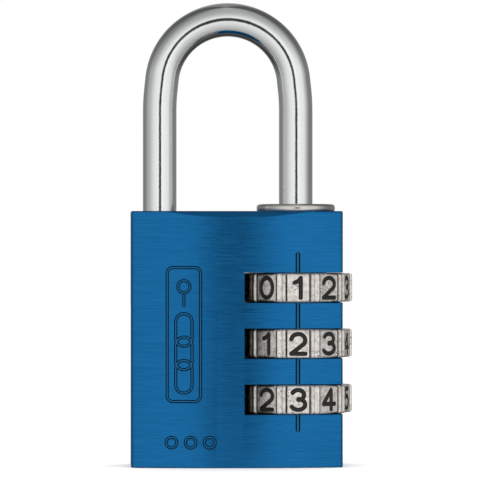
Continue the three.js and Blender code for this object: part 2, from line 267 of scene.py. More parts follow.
def arc(x, z, rx, rz, start, end, count=14):
    """Points on an ellipse from one angle to another, in degrees counterclockwise from +X."""
    angles = [math.radians(a) for a in smooth_steps(start, end, count)]
    return [(x + rx * math.cos(a), z + rz * math.sin(a)) for a in angles]


def ellipse(x, z, rx, rz):
    count = 28
    return arc(x, z, rx, rz, 0, 360 - 360 / count, count)


def rounded_frame(x0, x1, z0, z1, radius):
    """A rectangle with small round corners, as a closed path."""
    corners = [(x1 - radius, z1 - radius, 0), (x0 + radius, z1 - radius, 90)]
    corners += [(x0 + radius, z0 + radius, 180), (x1 - radius, z0 + radius, 270)]
    return [p for x, z, a in corners for p in arc(x, z, radius, radius, a, a + 90, 7)]


def with_short_steps(points, closed, longest):
    """The same path with points no further apart than longest."""
    path = []
    pairs = list(zip(points, points[1:] + points[:1])) if closed else list(zip(points, points[1:]))
    for (x0, z0), (x1, z1) in pairs:
        count = max(1, math.ceil(math.hypot(x1 - x0, z1 - z0) / longest))
        path += [(x0 + (x1 - x0) * i / count, z0 + (z1 - z0) * i / count) for i in range(count)]
    return path if closed else path + [points[-1]]


def with_round_ends(path, half_width):
    """(x, z, width factor) along an open path, drawn out to a round end at both ends."""
    angles = [math.radians(a) for a in (80, 60, 40, 20)]
    (ax, az), (bx, bz) = path[0], path[1]
    (cx, cz), (dx, dz) = path[-1], path[-2]
    back = Vector((ax - bx, az - bz)).normalized() * half_width
    ahead = Vector((cx - dx, cz - dz)).normalized() * half_width
    first = [(ax + back.x * math.sin(a), az + back.y * math.sin(a), math.cos(a)) for a in angles]
    last = [(cx + ahead.x * math.sin(a), cz + ahead.y * math.sin(a), math.cos(a)) for a in reversed(angles)]
    return first + [(x, z, 1) for x, z in path] + last


def stroke(name, points, surface, width, depth, closed=False, longest=0.5):
    """A cutter that engraves a path: steep walls, a narrower floor, round ends.

    surface(u, v, depth) gives the point that lies that deep under the surface at (u, v).
    """
    rise = 0.35  # how far it stands out of the surface
    path = with_short_steps(points, closed, longest)
    spine = [(u, v, 1) for u, v in path] if closed else with_round_ends(path, width / 2)
    section = [(-0.5, -rise), (0.5, -rise), (0.5, 0), (0.2, depth), (-0.2, depth), (-0.5, 0)]
    rings = []
    for i, (u, v, factor) in enumerate(spine):
        before = spine[i - 1] if closed or i > 0 else spine[i]
        after = spine[(i + 1) % len(spine)] if closed or i < len(spine) - 1 else spine[i]
        into = Vector((u - before[0], v - before[1]))
        out = Vector((after[0] - u, after[1] - v))
        into = into.normalized() if into.length > 0 else out.normalized()
        out = out.normalized() if out.length > 0 else into
        along = (into + out).normalized()
        mitre = 1 / max(0.6, along.dot(into))
        side = Vector((-along.y, along.x)) * width * factor * mitre
        rings.append([surface(u + side.x * s, v + side.y * s, d) for s, d in section])
    return loft(name, rings, cyclic=closed)


# ---------------------------------------------------------------- lock body


def face_depth(x):
    """Distance of the bowed face from the middle plane."""
    return CROWN - FACE_RADIUS + math.sqrt(FACE_RADIUS**2 - x**2)


def bevel_depth(z):
    """The same for the flat bevel along the top edge, which cuts the bowed face back near the top."""
    start = face_depth(BEVEL_HALF_WIDTH)
    return start + (CROWN - start) * (TOP - z) / BEVEL_DEPTH


def softer_minimum(a, b, blend):
    """The smaller of a and b, with a rounded change from one to the other."""
    return (a + b - math.sqrt((a - b) ** 2 + blend**2)) / 2 + blend / 4


def body_outline(inset, z):
    """The body's outline at height z, drawn in by inset: bowed front and back, round upright corners."""
    arc_centre = FACE_RADIUS - CROWN
    corner_x = SIDE - CORNER_RADIUS
    corner_depth = math.sqrt((FACE_RADIUS - CORNER_RADIUS) ** 2 - corner_x**2) - arc_centre
    reach = math.asin(corner_x / (FACE_RADIUS - CORNER_RADIUS))
    half = []
    for angle in smooth_steps(-reach, reach, 81):
        bow = (FACE_RADIUS - inset) * math.cos(angle) - arc_centre
        depth = min(bow, softer_minimum(bow, bevel_depth(z) - inset, BEVEL_BLEND))
        half.append(((FACE_RADIUS - inset) * math.sin(angle), depth))
    for angle in smooth_steps(reach, math.pi / 2, 7)[1:]:
        radius = CORNER_RADIUS - inset
        half.append((corner_x + radius * math.sin(angle), corner_depth + radius * math.cos(angle)))
    front = [(-half[-1][0], -half[-1][1])] + [(-x, -d) for x, d in reversed(half[81:-1])]
    front += [(x, -d) for x, d in half]
    return [(x, y, z) for x, y in front] + [(-x, -y, z) for x, y in front]


def body_blank():
    turns = [math.radians(a) for a in (0, 22, 45, 68, 90)]
    rim = [(RIM_RADIUS * (1 - math.sin(a)), RIM_RADIUS * (1 - math.cos(a))) for a in turns]
    levels = [(inset, rise) for inset, rise in rim]
    levels += [(0, z) for z in smooth_steps(TOP - BEVEL_DEPTH - 0.4, TOP - RIM_RADIUS - 0.06, 20)]
    levels += [(inset, TOP - rise) for inset, rise in reversed(rim)]
    return loft("body_shell", [body_outline(inset, z) for inset, z in levels])


def window_cutter(z):
    """A slot for a dial, open but for its bowed left end, with broken edges."""
    far = CROWN + 1
    rings = []
    for x in smooth_steps(WINDOW_END_X, SIDE - EDGE_BREAK, 31) + [SIDE + 1]:
        half = WINDOW_HEIGHT / 2 + max(0, x - (SIDE - EDGE_BREAK))
        start = face_depth(x) - EDGE_BREAK
        flare = half + far - start
        upper = [(x, -far, z + flare), (x, -start, z + half), (x, start, z + half), (x, far, z + flare)]
        rings.append(upper + [(px, py, 2 * z - pz) for px, py, pz in reversed(upper)])
    cutter = loft("window_cutter", rings)
    centre_x = WINDOW_END_X + SLOT_CUTTER_RADIUS
    disc = upright_cylinder("slot_disc", SLOT_CUTTER_RADIUS, z - TOP, z + TOP, centre_x, segments=720)
    combine(cutter, [disc], "INTERSECT")
    return cutter


def countersunk_bore(radius, floor_z, x):
    lip = 0.15
    profile = [(0.01, floor_z), (radius, floor_z), (radius, TOP - lip), (radius + lip, TOP)]
    profile += [(radius + lip, TOP + 1), (0.01, TOP + 1)]
    return turned("bore_cutter", profile, x, segments=96)


def front_surface(x, z, depth):
    return (x, depth - face_depth(x), z)


def index_line():
    path = [(STACK_X, INDEX_LOW_Z), (STACK_X, INDEX_HIGH_Z)]
    return stroke("index_cutter", path, front_surface, GROOVE_WIDTH, GROOVE_DEPTH)


def emblem():
    """A plain frame round three chain links and a keyhole, and three small rings below it."""
    middle, half_width = -7.55, 2.35
    link_height, link_half_width, link_radius = 4.6, 1.15, 1.1
    left, right = middle - link_half_width, middle + link_half_width
    paths = [(rounded_frame(middle - half_width, middle + half_width, 9.4, 28.3, 0.8), True)]
    for low in (10.6, 13.9, 17.2):
        paths.append((rounded_frame(left, right, low, low + link_height, link_radius), True))
    paths.append((ellipse(middle, 25.6, 0.85, 0.85), True))
    paths.append(([(middle, 24.3), (middle, 22.9)], False))
    paths += [(ellipse(x, 3.6, 0.75, 0.75), True) for x in (-9.3, -6.6, -3.9)]
    sizes = (EMBLEM_WIDTH, GROOVE_DEPTH)
    return [stroke("emblem_cutter", path, front_surface, *sizes, closed) for path, closed in paths]


def in_engraving(x, z):
    on_index = abs(x - STACK_X) < GROOVE_WIDTH and INDEX_LOW_Z - 1 < z < INDEX_HIGH_Z + 1
    on_emblem = -10.6 < x < -2.6 and 2 < z < 29
    between_windows = all(abs(z - centre) > WINDOW_HEIGHT / 2 + EDGE_BREAK for centre in DIAL_CENTRES_Z)
    return (on_index and between_windows) or on_emblem


def body_material_of(polygon):
    """0 for the skin, 1 for engraved walls and the inside of the windows, which get painted shade, 2 for
    engraved floors.
    """
    x, y, z = polygon.center
    sunk = face_depth(x) - abs(y)
    in_window = any(abs(z - centre) < WINDOW_HEIGHT / 2 + 0.01 for centre in DIAL_CENTRES_Z)
    if in_window and x > WINDOW_END_X - 0.1 and sunk > EDGE_BREAK and x < SIDE - EDGE_BREAK:
        return 1
    if y > 0 or not 0.015 < sunk < GROOVE_DEPTH + 0.02 or not in_engraving(x, z):
        return 0
    return 2 if polygon.normal.y < -0.97 and sunk > GROOVE_DEPTH - 0.03 else 1


def lock_body(anodised, painted_recess_shade, groove_floor):
    body = body_blank()
    toe_floor = TOP - TOE_DEPTH - RESTING_GAP
    tools = [
        upright_cylinder("bore_cutter", STACK_BORE, STACK_BORE_FLOOR_Z, TOP + 1, STACK_X),
        countersunk_bore(BAR_RADIUS + 2 * RUNNING_GAP, toe_floor, TOE_X),
        index_line(),
    ]
    ball_bore = BALL_RADIUS + RUNNING_GAP
    for z in DIAL_CENTRES_Z:
        tools.append(window_cutter(z))
        tools.append(cylinder_along("ball_cutter", "X", ball_bore, BALL_HOLE_END_X, WINDOW_END_X + 1, (0, z)))
    for low, high in [box_mm(f"collar_pin_{n}") for n in (1, 2)]:
        centre = ((low.x + high.x) / 2, (low.z + high.z) / 2)
        start = low.y - RESTING_GAP
        tools.append(cylinder_along("pin_cutter", "Y", PIN_RADIUS + RUNNING_GAP, start, 2 * CROWN, centre))
    cut(body, tools + emblem())
    body.name = body.data.name = "lock_body_shell"
    dress(body, [anodised, painted_recess_shade, groove_floor], body_material_of)
    finish_piece(body, "housing", ["lock_body"])


# ---------------------------------------------------------------- number dials


def digit_strokes(digit):
    """The strokes of a numeral about (0, 0) as (points, closed), 2.8 high between centre lines."""
    top, wide = 1.4, 1.0
    if digit == 0:
        return [(ellipse(0, 0, 0.98, top), True)]
    if digit == 1:
        return [([(0.35, top), (0.35, -top)], False), ([(0.3, 1.28), (-0.05, 0.92), (-0.5, 0.74)], False)]
    if digit == 2:
        bowl = arc(0, 0.52, 0.98, 0.88, 172, -38)
        return [(bowl + [(-wide, -top)], False), ([(-wide, -top), (wide, -top)], False)]
    if digit == 3:
        upper = arc(-0.02, 0.7, 0.85, 0.7, 155, -88)
        lower = arc(-0.02, -0.64, 1.0, 0.76, 88, -155)
        return [(upper, False), (lower, False)]
    if digit == 4:
        slope = [(0.4, top), (-wide, -0.62), (wide, -0.62)]
        return [(slope[:2], False), (slope[1:], False), ([(0.4, top), (0.4, -top)], False)]
    if digit == 5:
        bowl = arc(-0.02, -0.5, 1.0, 0.9, 138, -150)
        corner = [(-0.62, top), (-0.76, 0.1)]
        return [([(0.8, top), (-0.62, top)], False), (corner, False), (bowl, False)]
    if digit == 6:
        hook = arc(0.06, 0, 1.04, top, 38, 205)
        return [(ellipse(0, -0.52, 0.98, 0.88), True), (hook, False)]
    if digit == 7:
        return [([(-wide, top), (wide, top)], False), ([(wide, top), (-0.25, -top)], False)]
    if digit == 8:
        return [(ellipse(0, 0.74, 0.8, 0.66), True), (ellipse(0, -0.63, 1.0, 0.77), True)]
    return [([(-u, -v) for u, v in points], closed) for points, closed in digit_strokes(6)]


def on_dial(angle, along, across):
    """A point at a distance along a direction from the dial's axis and across it. Angle 0 is the front."""
    x = along * math.sin(angle) + across * math.cos(angle)
    y = across * math.sin(angle) - along * math.cos(angle)
    return (x, y)


def dial_section():
    """Half a rib as (half width, height above the field): black-filled root, flank, crest, centre groove."""
    crest = math.sqrt(DIAL_RADIUS**2 - 0.45**2)
    foot = FIELD_APOTHEM / math.cos(PITCH / 2) - 0.68 * math.tan(PITCH / 2)
    return [
        (0.86, foot - 0.055),
        (0.79, foot - 0.13),
        (0.7, foot - 0.12),
        (0.65, foot + 0.02),
        (0.6, crest - 0.07),
        (0.53, crest - 0.01),
        (0.44, crest),
        (0.3, crest - 0.005),
        (0.2, crest - 0.05),
        (0.09, crest - 0.13),
        (0, crest - 0.15),
    ]


def dial_outline(inset):
    """Ten flat fields with a grooved rib between each two, drawn in by inset."""
    half = dial_section()
    rib = [(-across, along) for across, along in half]
    rib += [(across, along) for across, along in reversed(half[:-1])]
    points = []
    for k in range(DIGITS):
        points += [on_dial((k + 0.5) * PITCH, along - inset, across) for across, along in rib]
    return points


def spline_outline():
    """The ten notches inside a dial that the sleeve's lugs drive."""
    land, root, half = 4.4, 4.8, 0.6
    points = []
    for k in range(DIGITS):
        for along, across in ((land, -half), (root, -half), (root, half), (land, half)):
            points.append(on_dial(k * PITCH, along, across))
    return points


def rim_inset(z):
    """How far a dial's rounded edge draws its outline in at a height from its middle."""
    above = max(0, abs(z) - (DIAL_HALF_HEIGHT - DIAL_EDGE_RADIUS))
    return DIAL_EDGE_RADIUS - math.sqrt(max(0, DIAL_EDGE_RADIUS**2 - above**2))


def dial_blank():
    half, radius = DIAL_HALF_HEIGHT, DIAL_EDGE_RADIUS
    turns = [math.radians(a) for a in (0, 15, 30, 45, 60, 75, 90)]
    rim = [(radius * (1 - math.sin(a)), half - radius * (1 - math.cos(a))) for a in turns]
    levels = [(inset, -z) for inset, z in rim] + [(inset, z) for inset, z in reversed(rim)]
    return loft("dial_shell", [[(x, y, z) for x, y in dial_outline(inset)] for inset, z in levels])


def digit_cutters():
    tools = []
    for k in range(DIGITS):

        def surface(u, v, depth, angle=k * PITCH):
            x, y = on_dial(angle, FIELD_APOTHEM - depth, u)
            return (x, y, v)

        for points, closed in digit_strokes(k):
            sizes = (DIGIT_STROKE, DIGIT_DEPTH)
            tools.append(stroke("digit_cutter", points, surface, *sizes, closed, longest=4))
    return tools


def is_black_face(polygon):
    """True for the faces that get the black material: the floor and walls of the painted numerals, and the
    roots beside the ribs.
    """
    digit_half_width, root_start, root_end, bare_edge = 1.5, 0.66, 0.82, 0.12
    x, y, z = polygon.center
    angle = math.atan2(x, -y)
    from_field = angle - round(angle / PITCH) * PITCH
    radius = math.hypot(x, y)
    along, across = radius * math.cos(from_field), radius * math.sin(from_field)
    in_height = abs(z) < DIAL_HALF_HEIGHT - bare_edge
    field = FIELD_APOTHEM - rim_inset(z)
    sunk_numeral = abs(across) < digit_half_width and field - 0.3 < along < field - 0.045
    # The roots beside the ribs get the same black as the numerals.
    from_rib = abs(abs(from_field) - PITCH / 2) * radius
    in_root = root_start < from_rib < root_end and radius < DIAL_RADIUS - bare_edge
    faces_out = polygon.normal.x * x + polygon.normal.y * y > 0
    return in_height and faces_out and (sunk_numeral or in_root)


def dial_template(plated, paint):
    """A dressed dial about its own centre, with 0 at the front."""
    dial = dial_blank()
    spline_bottom, bore = -0.1, 4.85
    half = DIAL_HALF_HEIGHT
    levels = (spline_bottom - 0.1, half + 1)
    spline = loft("spline_cutter", [[(x, y, z) for x, y in spline_outline()] for z in levels])
    cut(dial, [upright_cylinder("bore_cutter", bore, -half - 1, spline_bottom), spline] + digit_cutters())
    dress(dial, [plated, paint], lambda polygon: 1 if is_black_face(polygon) else 0)
    return dial


def number_dials(plated, paint):
    """Three dials, turned so that they show the code 1, 2, 3 from the top."""
    template = dial_template(plated, paint)
    for n, z in enumerate(DIAL_CENTRES_Z, start=1):
        mesh = template.data.copy()
        mesh.transform(Matrix.Translation((STACK_X, 0, z)) @ Matrix.Rotation(-n * PITCH, 4, "Z"))
        dial = bpy.data.objects.new(f"number_dial_{n}", mesh)
        bpy.context.scene.collection.objects.link(dial)
        finish_piece(dial, f"dial_{n}", [f"dial_ring_{n}"])
    bpy.data.objects.remove(template)


# ---------------------------------------------------------------- shackle


def shackle_spine():
    """(x, z) along the bend, from the top of the long leg to the top of the short one."""
    middle, half_span = (STACK_X + TOE_X) / 2, (STACK_X - TOE_X) / 2
    crown_z = SHACKLE_HIGH.z - BAR_RADIUS - CROWN_RADIUS
    end_x, end_z = CROWN_RADIUS * math.sin(BEND_END), crown_z + CROWN_RADIUS * math.cos(BEND_END)
    lean_x, lean_z = LEG_LEAN * math.cos(BEND_END), -LEG_LEAN * math.sin(BEND_END)
    knee = [(half_span, LEG_START_Z), (half_span, LEG_START_Z + LEG_LEAN), (end_x + lean_x, end_z + lean_z)]
    knee.append((end_x, end_z))
    half = []
    for t in smooth_steps(0, 1, 20)[:-1]:
        a, b, c, d = (1 - t) ** 3, 3 * t * (1 - t) ** 2, 3 * t * t * (1 - t), t**3
        x = a * knee[0][0] + b * knee[1][0] + c * knee[2][0] + d * knee[3][0]
        z = a * knee[0][1] + b * knee[1][1] + c * knee[2][1] + d * knee[3][1]
        half.append((x, z))
    half += [
        (CROWN_RADIUS * math.sin(a), crown_z + CROWN_RADIUS * math.cos(a))
        for a in smooth_steps(BEND_END, 0, 49)
    ]
    right = [(middle + x, z) for x, z in half]
    left = [(middle - x, z) for x, z in reversed(half[:-1])]
    return right + left


def bar_ring(x, z, direction, radius):
    """A ring round the bar, square to its direction in the XZ plane."""
    sides = 64
    across = Vector((direction.y, -direction.x)).normalized()
    ring = []
    for i in range(sides):
        angle = FULL_TURN * i / sides
        reach = radius * math.cos(angle)
        ring.append((x + across.x * reach, radius * math.sin(angle), z + across.y * reach))
    return ring


def shackle(bright):
    neck_top = COLLAR_LOW.z + 0.25
    toe_end = TOP - TOE_DEPTH
    soft = 0.15  # rounding at the shoulders
    up, down = Vector((0, 1)), Vector((0, -1))
    foot = SHACKLE_LOW.z
    long_leg = [(foot, NECK_RADIUS - 0.2), (foot + 0.2, NECK_RADIUS), (neck_top, NECK_RADIUS)]
    long_leg += [(neck_top + 0.01, BAR_RADIUS - soft), (neck_top + soft, BAR_RADIUS)]
    rings = [bar_ring(STACK_X, z, up, radius) for z, radius in long_leg]
    rings += [bar_ring(STACK_X, z, up, BAR_RADIUS) for z in smooth_steps(neck_top + 2, LEG_START_Z - 1, 12)]
    spine = shackle_spine()
    for i, (x, z) in enumerate(spine):
        before, after = spine[max(0, i - 1)], spine[min(len(spine) - 1, i + 1)]
        direction = Vector((after[0] - before[0], after[1] - before[1]))
        if i in (0, len(spine) - 1):
            direction = up if i == 0 else down
        rings.append(bar_ring(x, z, direction, BAR_RADIUS))
    rings += [bar_ring(TOE_X, z, down, BAR_RADIUS) for z in smooth_steps(LEG_START_Z - 1, toe_end + 2, 12)]
    toe = [(toe_end + TOE_CHAMFER * 1.15, 0), (toe_end + TOE_CHAMFER * 0.85, 0.06)]
    toe += [(toe_end + 0.12, TOE_CHAMFER - 0.05), (toe_end, TOE_CHAMFER + 0.12)]
    rings += [bar_ring(TOE_X, z, down, BAR_RADIUS - inset) for z, inset in toe]
    bar = loft("shackle_bar", rings)
    fins = []
    for z in DIAL_CENTRES_Z:
        bottom, top = z + FIN_TOP - FIN_HEIGHT, z + FIN_TOP
        fin = block("fin", (STACK_X - FIN_RADIUS - 1, -FIN_WIDTH / 2, bottom), (STACK_X, FIN_WIDTH / 2, top))
        combine(fin, [upright_cylinder("fin_end", FIN_RADIUS, bottom - 1, top + 1, STACK_X)], "INTERSECT")
        fins.append(fin)
    join(bar, fins)
    dress(bar, [bright])
    finish_piece(bar, "shackle", ["shackle"])


# ---------------------------------------------------------------- collar, balls and spring


def guide_collar(plated):
    """The pinned bush: a slightly domed flange edge, a skirt with the pins' groove, a relieved mouth."""
    seat, top, bottom = TOP + CONTACT_GAP, COLLAR_HIGH.z, COLLAR_LOW.z
    bore, skirt, hollow = BAR_RADIUS + RUNNING_GAP, STACK_BORE - RUNNING_GAP, SLEEVE_BORE
    stop_z = DIAL_CENTRES_Z[0] + FIN_TOP + LIFT + RUNNING_GAP
    pin_low, pin_high = box_mm("collar_pin_1")
    groove_low, groove_high = pin_low.z - RUNNING_GAP, pin_high.z + RUNNING_GAP
    soft = 0.15
    profile = [(bore, stop_z), (hollow, stop_z), (hollow, bottom), (skirt - soft, bottom)]
    profile += [(skirt, bottom + soft), (skirt, groove_low), (COLLAR_GROOVE_RADIUS, groove_low)]
    profile += [(COLLAR_GROOVE_RADIUS, groove_high), (skirt, groove_high), (skirt, seat)]
    profile += [(COLLAR_RADIUS - 0.12, seat)]
    profile += [(COLLAR_RADIUS - 0.04, seat + 0.08), (COLLAR_RADIUS, seat + 0.3)]
    edge = 0.46
    for degrees in (10, 25, 40, 55, 70, 80, 90):
        a = math.radians(degrees)
        profile.append((COLLAR_RADIUS - edge * (1 - math.cos(a)), top - edge * (1 - math.sin(a))))
    profile += [(bore + 0.18, top), (bore + 0.06, top - 0.05), (bore, top - 0.18)]
    collar = turned("collar_bush", profile, STACK_X, segments=128)
    dress(collar, [plated])
    finish_piece(collar, "housing", ["guide_collar"])


def detent_balls(bright):
    for n, z in enumerate(DIAL_CENTRES_Z, start=1):
        steps = [math.radians(a) for a in smooth_steps(-86, 86, 25)]
        rings = []
        for a in steps:
            radius, x = BALL_RADIUS * math.cos(a), BALL_X + BALL_RADIUS * math.sin(a)
            turn = [FULL_TURN * i / 40 for i in range(40)]
            rings.append([(x, radius * math.cos(t), z + radius * math.sin(t)) for t in turn])
        ball = loft(f"ball_{n}", rings)
        dress(ball, [bright])
        finish_piece(ball, "housing", [f"detent_ball_{n}"])


def reset_spring(steel):
    """The coil under the sleeves, built at its rest length."""
    low, high = box_mm("reset_spring")
    bottom, top = low.z + RESET_WIRE_RADIUS, high.z - RESET_WIRE_RADIUS
    steps, sides = 145, 16
    rings = []
    for t in smooth_steps(0, 1, steps):
        angle = FULL_TURN * RESET_TURNS * t
        outward = Vector((math.cos(angle), math.sin(angle), 0))
        along = Vector((-math.sin(angle), math.cos(angle), 0)) * RESET_COIL_RADIUS * FULL_TURN * RESET_TURNS
        along.z = top - bottom
        upward = outward.cross(along).normalized()
        centre = Vector((STACK_X, 0, bottom + (top - bottom) * t)) + outward * RESET_COIL_RADIUS
        turn = [FULL_TURN * i / sides for i in range(sides)]
        spokes = [outward * math.cos(a) + upward * math.sin(a) for a in turn]
        rings.append([centre + spoke * RESET_WIRE_RADIUS for spoke in spokes])
    spring = loft("reset_coil", rings)
    dress(spring, [steel])
    finish_piece(spring, "housing", ["reset_spring"])
    length = high.z - low.z
    anchor, keep = (STACK_X * MM, 0, low.z * MM), (length - SLEEVE_SHIFT) / length
    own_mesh(spring)
    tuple(anchor)


# ---------------------------------------------------------------- materials


def add_node(tree, kind, inputs=None, **settings):
    """A shader node with its settings, and each input a number, a colour or another node's output."""
    made = tree.nodes.new("ShaderNode" + kind)
    for name, value in settings.items():
        setattr(made, name, value)
    for socket, value in (inputs or {}).items():
        if isinstance(value, bpy.types.NodeSocket):
            tree.links.new(value, made.inputs[socket])
        else:
            made.inputs[socket].default_value = value
    return made


def new_material(name, **fixed):
    """A material and its Principled shader, with the sockets that are the same all over."""
    material = bpy.data.materials.new(name)
    material.use_nodes = True
    shader = material.node_tree.nodes["Principled BSDF"]
    for socket, value in fixed.items():
        shader.inputs[socket.replace("_", " ")].default_value = value
    return material, material.node_tree, shader


def stretched_noise(tree, per_mm, detail):
    """Noise with so many cells per millimetre along each axis of the piece."""
    place = add_node(tree, "TexCoord").outputs["Object"]
    scale = tuple(cells / MM for cells in per_mm)
    mapped = add_node(tree, "Mapping", {"Vector": place, "Scale": scale}).outputs["Vector"]
    inputs = {"Vector": mapped, "Scale": 1.0, "Detail": detail, "Roughness": 0.55}
    return add_node(tree, "TexNoise", inputs).outputs["Fac"]


def ranged(tree, value, low, high, to_low, to_high):
    """The value carried from one range to another, held at the ends."""
    inputs = {"Value": value, "From Min": low, "From Max": high, "To Min": to_low, "To Max": to_high}
    return add_node(tree, "MapRange", inputs).outputs["Result"]


def blended(tree, factor, first, second):
    """A colour between two others."""
    return add_node(tree, "Mix", {0: factor, 6: first, 7: second}, data_type="RGBA").outputs[2]


def combined(tree, operation, first, second):
    """What a math operation makes of two values. Those that need only one ignore the second."""
    return add_node(tree, "Math", {0: first, 1: second}, operation=operation).outputs[0]


def mixed(tree, first, second, share):
    """Two values added, with the given share of the first."""
    part = combined(tree, "MULTIPLY", first, share)
    return combined(tree, "ADD", part, combined(tree, "MULTIPLY", second, 1 - share))


def bumped(tree, shader, height, distance_mm, strength):
    """Relief of so many millimetres from black to white."""
    inputs = {"Height": height, "Distance": distance_mm * MM, "Strength": strength}
    tree.links.new(add_node(tree, "Bump", inputs).outputs["Normal"], shader.inputs["Normal"])


def anodised_material():
    """Blue anodised aluminium with fine brush marks that run level round the body."""
    material, tree, shader = new_material("anodised_blue", Metallic=1.0)
    shader.inputs["Anisotropic"].default_value = 0.85
    shader.inputs["Anisotropic Rotation"].default_value = 0.25
    fine = stretched_noise(tree, (0.3, 0.3, 12), detail=4)
    broad = stretched_noise(tree, (0.1, 0.1, 3), detail=3)
    cloud = stretched_noise(tree, (0.12, 0.12, 0.12), detail=2)
    marks = mixed(tree, fine, broad, 0.8)
    streak = ranged(tree, marks, 0.38, 0.62, 0, 1)
    colour = blended(tree, streak, (0.0095, 0.134, 0.352, 1), (0.0155, 0.185, 0.46, 1))
    tree.links.new(colour, shader.inputs["Base Color"])
    grain, haze = ranged(tree, marks, 0.35, 0.65, 0.23, 0.31), ranged(tree, cloud, 0.3, 0.7, -0.02, 0.03)
    tree.links.new(combined(tree, "ADD", grain, haze), shader.inputs["Roughness"])
    tangent = add_node(tree, "Tangent", direction_type="RADIAL", axis="Z")
    tree.links.new(tangent.outputs["Tangent"], shader.inputs["Tangent"])
    bumped(tree, shader, marks, 0.02, 0.35)
    return material


def milled_material(name, dark, light):
    """The same anodising over a rough milled cut. With near-black tones it is painted shade for the engraved
    walls and the inside of the windows.
    """
    material, tree, shader = new_material(name, Metallic=0.9)
    grain = stretched_noise(tree, (5, 5, 5), detail=4)
    tree.links.new(blended(tree, grain, dark, light), shader.inputs["Base Color"])
    tree.links.new(ranged(tree, grain, 0.3, 0.7, 0.4, 0.6), shader.inputs["Roughness"])
    bumped(tree, shader, grain, 0.02, 0.5)
    return material


def bright_steel_material():
    """Polished plated bar with a faint waviness and fine scratches."""
    material, tree, shader = new_material("bright_plate", Metallic=1.0)
    wave = stretched_noise(tree, (2.6, 2.6, 2.6), detail=2)
    haze = stretched_noise(tree, (0.35, 0.35, 0.35), detail=4)
    scratch = stretched_noise(tree, (7, 7, 0.5), detail=3)
    colour = blended(tree, haze, (0.80, 0.83, 0.82, 1), (0.87, 0.89, 0.885, 1))
    tree.links.new(colour, shader.inputs["Base Color"])
    tree.links.new(ranged(tree, haze, 0.3, 0.7, 0.07, 0.13), shader.inputs["Roughness"])
    bumped(tree, shader, mixed(tree, wave, scratch, 0.8), 0.016, 0.5)
    return material


PAINT_TRACE = 0.9  # how black the traces are


def plated_casting_material(name, base_low, base_high):
    """Plated zinc with a lightly pitted skin and a few traces of black paint left on it."""
    material, tree, shader = new_material(name)
    skin = stretched_noise(tree, (1.6, 1.6, 1.6), detail=5)
    pits = stretched_noise(tree, (4.6, 4.6, 4.6), detail=3)
    patches = stretched_noise(tree, (0.42, 0.42, 0.42), detail=2)
    speck, near = ranged(tree, pits, 0.57, 0.63, 0, 1), ranged(tree, patches, 0.49, 0.58, 0, 1)
    paint = combined(tree, "MULTIPLY", combined(tree, "MULTIPLY", speck, near), PAINT_TRACE)
    plate = blended(tree, ranged(tree, skin, 0.38, 0.6, 0, 1), base_low, base_high)
    tree.links.new(blended(tree, paint, plate, (0.012, 0.01, 0.009, 1)), shader.inputs["Base Color"])
    tree.links.new(ranged(tree, paint, 0, 1, 0.94, 0), shader.inputs["Metallic"])
    worn = ranged(tree, skin, 0.3, 0.7, 0.32, 0.46)
    duller = combined(tree, "MULTIPLY", paint, 0.2)
    tree.links.new(combined(tree, "ADD", worn, duller), shader.inputs["Roughness"])
    bumped(tree, shader, mixed(tree, skin, pits, 0.45), 0.09, 0.9)
    return material


def paint_material():
    """Black stoving paint wiped into the numerals."""
    material, tree, shader = new_material("black_paint")
    grain = stretched_noise(tree, (3.5, 3.5, 3.5), detail=4)
    colour = blended(tree, grain, (0.004, 0.004, 0.004, 1), (0.016, 0.014, 0.013, 1))
    tree.links.new(colour, shader.inputs["Base Color"])
    tree.links.new(ranged(tree, grain, 0.3, 0.7, 0.35, 0.6), shader.inputs["Roughness"])
    bumped(tree, shader, grain, 0.03, 0.6)
    return material


def turned_metal_material(name, dark, light, roughness):
    """Metal with fine lathe rings square to the stack axis."""
    material, tree, shader = new_material(name, Metallic=1.0)
    rings = stretched_noise(tree, (0.08, 0.08, 9), detail=3)
    tree.links.new(blended(tree, rings, dark, light), shader.inputs["Base Color"])
    low, high = roughness - 0.06, roughness + 0.08
    tree.links.new(ranged(tree, rings, 0.3, 0.7, low, high), shader.inputs["Roughness"])
    bumped(tree, shader, rings, 0.01, 0.4)
    return material


def finish_inner_nodes(brass, spring):
    """The CAD nodes that stay: their facets are smoothed by shading and they get worked metal."""
    names = {f"code_sleeve_{n}": (brass, "sleeve_brass") for n in (1, 2, 3)}
    names.update({f"detent_spring_{n}": (spring, "spring_steel") for n in (1, 2, 3)})
    names.update({f"collar_pin_{n}": (spring, "spring_steel") for n in (1, 2)})
    names["thrust_washer"] = (spring, "spring_steel")
    for name, (material, slot) in names.items():
        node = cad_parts[name]
        node.data.materials.clear()
        node.data.materials.append(material)
        node.data.shade_smooth()
        node.data.set_sharp_from_angle(angle=CAD_SHARP_ANGLE)


# ---------------------------------------------------------------- studio

CAMERA_YAW = math.radians(2)
CAMERA_DISTANCE = 0.6
CAMERA_HEIGHT = 0.0322
CAMERA_AIM_X = 0.0006
FRAME_WIDTH = 0.0685  # what the picture spans at the middle of the lock
SENSOR = 36

# Brightness round the lock at its own height, by degrees from the front: negative to the left.
STUDIO_WALL = [
    (-180, 0.62), (-168, 0.56), (-156, 0.24), (-120, 0.22), (-106, 0.28), (-95, 0.42), (-77, 0.48),
    (-61, 0.62), (-46, 0.8), (-31, 0.9), (-14, 0.96), (14, 1.06), (30, 0.96), (56, 0.88), (72, 0.6),
    (80, 0.46), (90, 0.36), (100, 0.22), (120, 0.22), (156, 0.24), (168, 0.56), (180, 0.62),
]
# Brightness below it, from the back (-1) over straight down (0) to the front (1).
STUDIO_BELOW = [(-1, 0.3), (-0.85, 0.08), (-0.5, 0.03), (0, 0.26), (0.6, 0.6), (1, 0.9)]
# Brightness above it as a share of the wall's, by degrees of height.
STUDIO_ABOVE = [(0, 1), (12, 1), (22, 0.78), (32, 0.64), (41, 0.52), (56, 0.44), (72, 0.42), (90, 0.4)]
WALL_PEAK = 1.2
